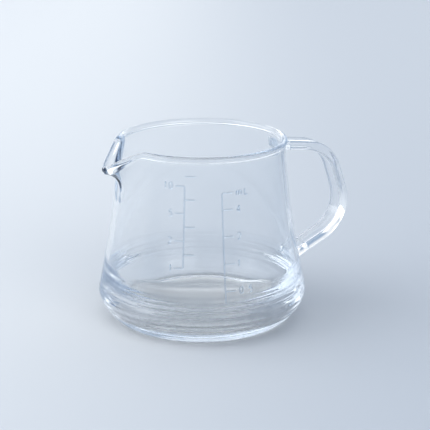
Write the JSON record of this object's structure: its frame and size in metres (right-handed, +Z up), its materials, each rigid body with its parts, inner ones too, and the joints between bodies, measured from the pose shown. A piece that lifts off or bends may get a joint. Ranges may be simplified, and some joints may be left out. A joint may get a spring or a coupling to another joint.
{
  "type": "glass beaker",
  "caption": "Squat clear glass beaker jug with a heavy rounded base, pinched pouring lip, flat bar handle and two raised volume scales.",
  "frame": {"origin": "centre of the flat underside that it stands on", "axes": "+Z up along the vessel's axis, +X towards the handle, -X towards the pouring lip"},
  "size_m": [0.1261, 0.0998, 0.087],
  "materials": {
    "clear_glass": "clear, fire polished, faint blue",
    "mark_glass": "clear raised relief with a softer surface"
  },
  "bodies": {
    "root": {"vessel": "clear_glass", "handle": "clear_glass", "upper_weld": "clear_glass", "lower_weld": "clear_glass", "left_scale_line": "mark_glass", "left_brim_tick": "mark_glass", "left_ten_1": "mark_glass", "left_ten_0": "mark_glass", "left_five": "mark_glass", "left_two": "mark_glass", "left_one": "mark_glass", "right_scale_line": "mark_glass", "right_unit_m": "mark_glass", "right_unit_l": "mark_glass", "right_four": "mark_glass", "right_two": "mark_glass", "right_one": "mark_glass", "right_half_0": "mark_glass", "right_half_point": "mark_glass", "right_half_5": "mark_glass"}
  },
  "joints": []
}
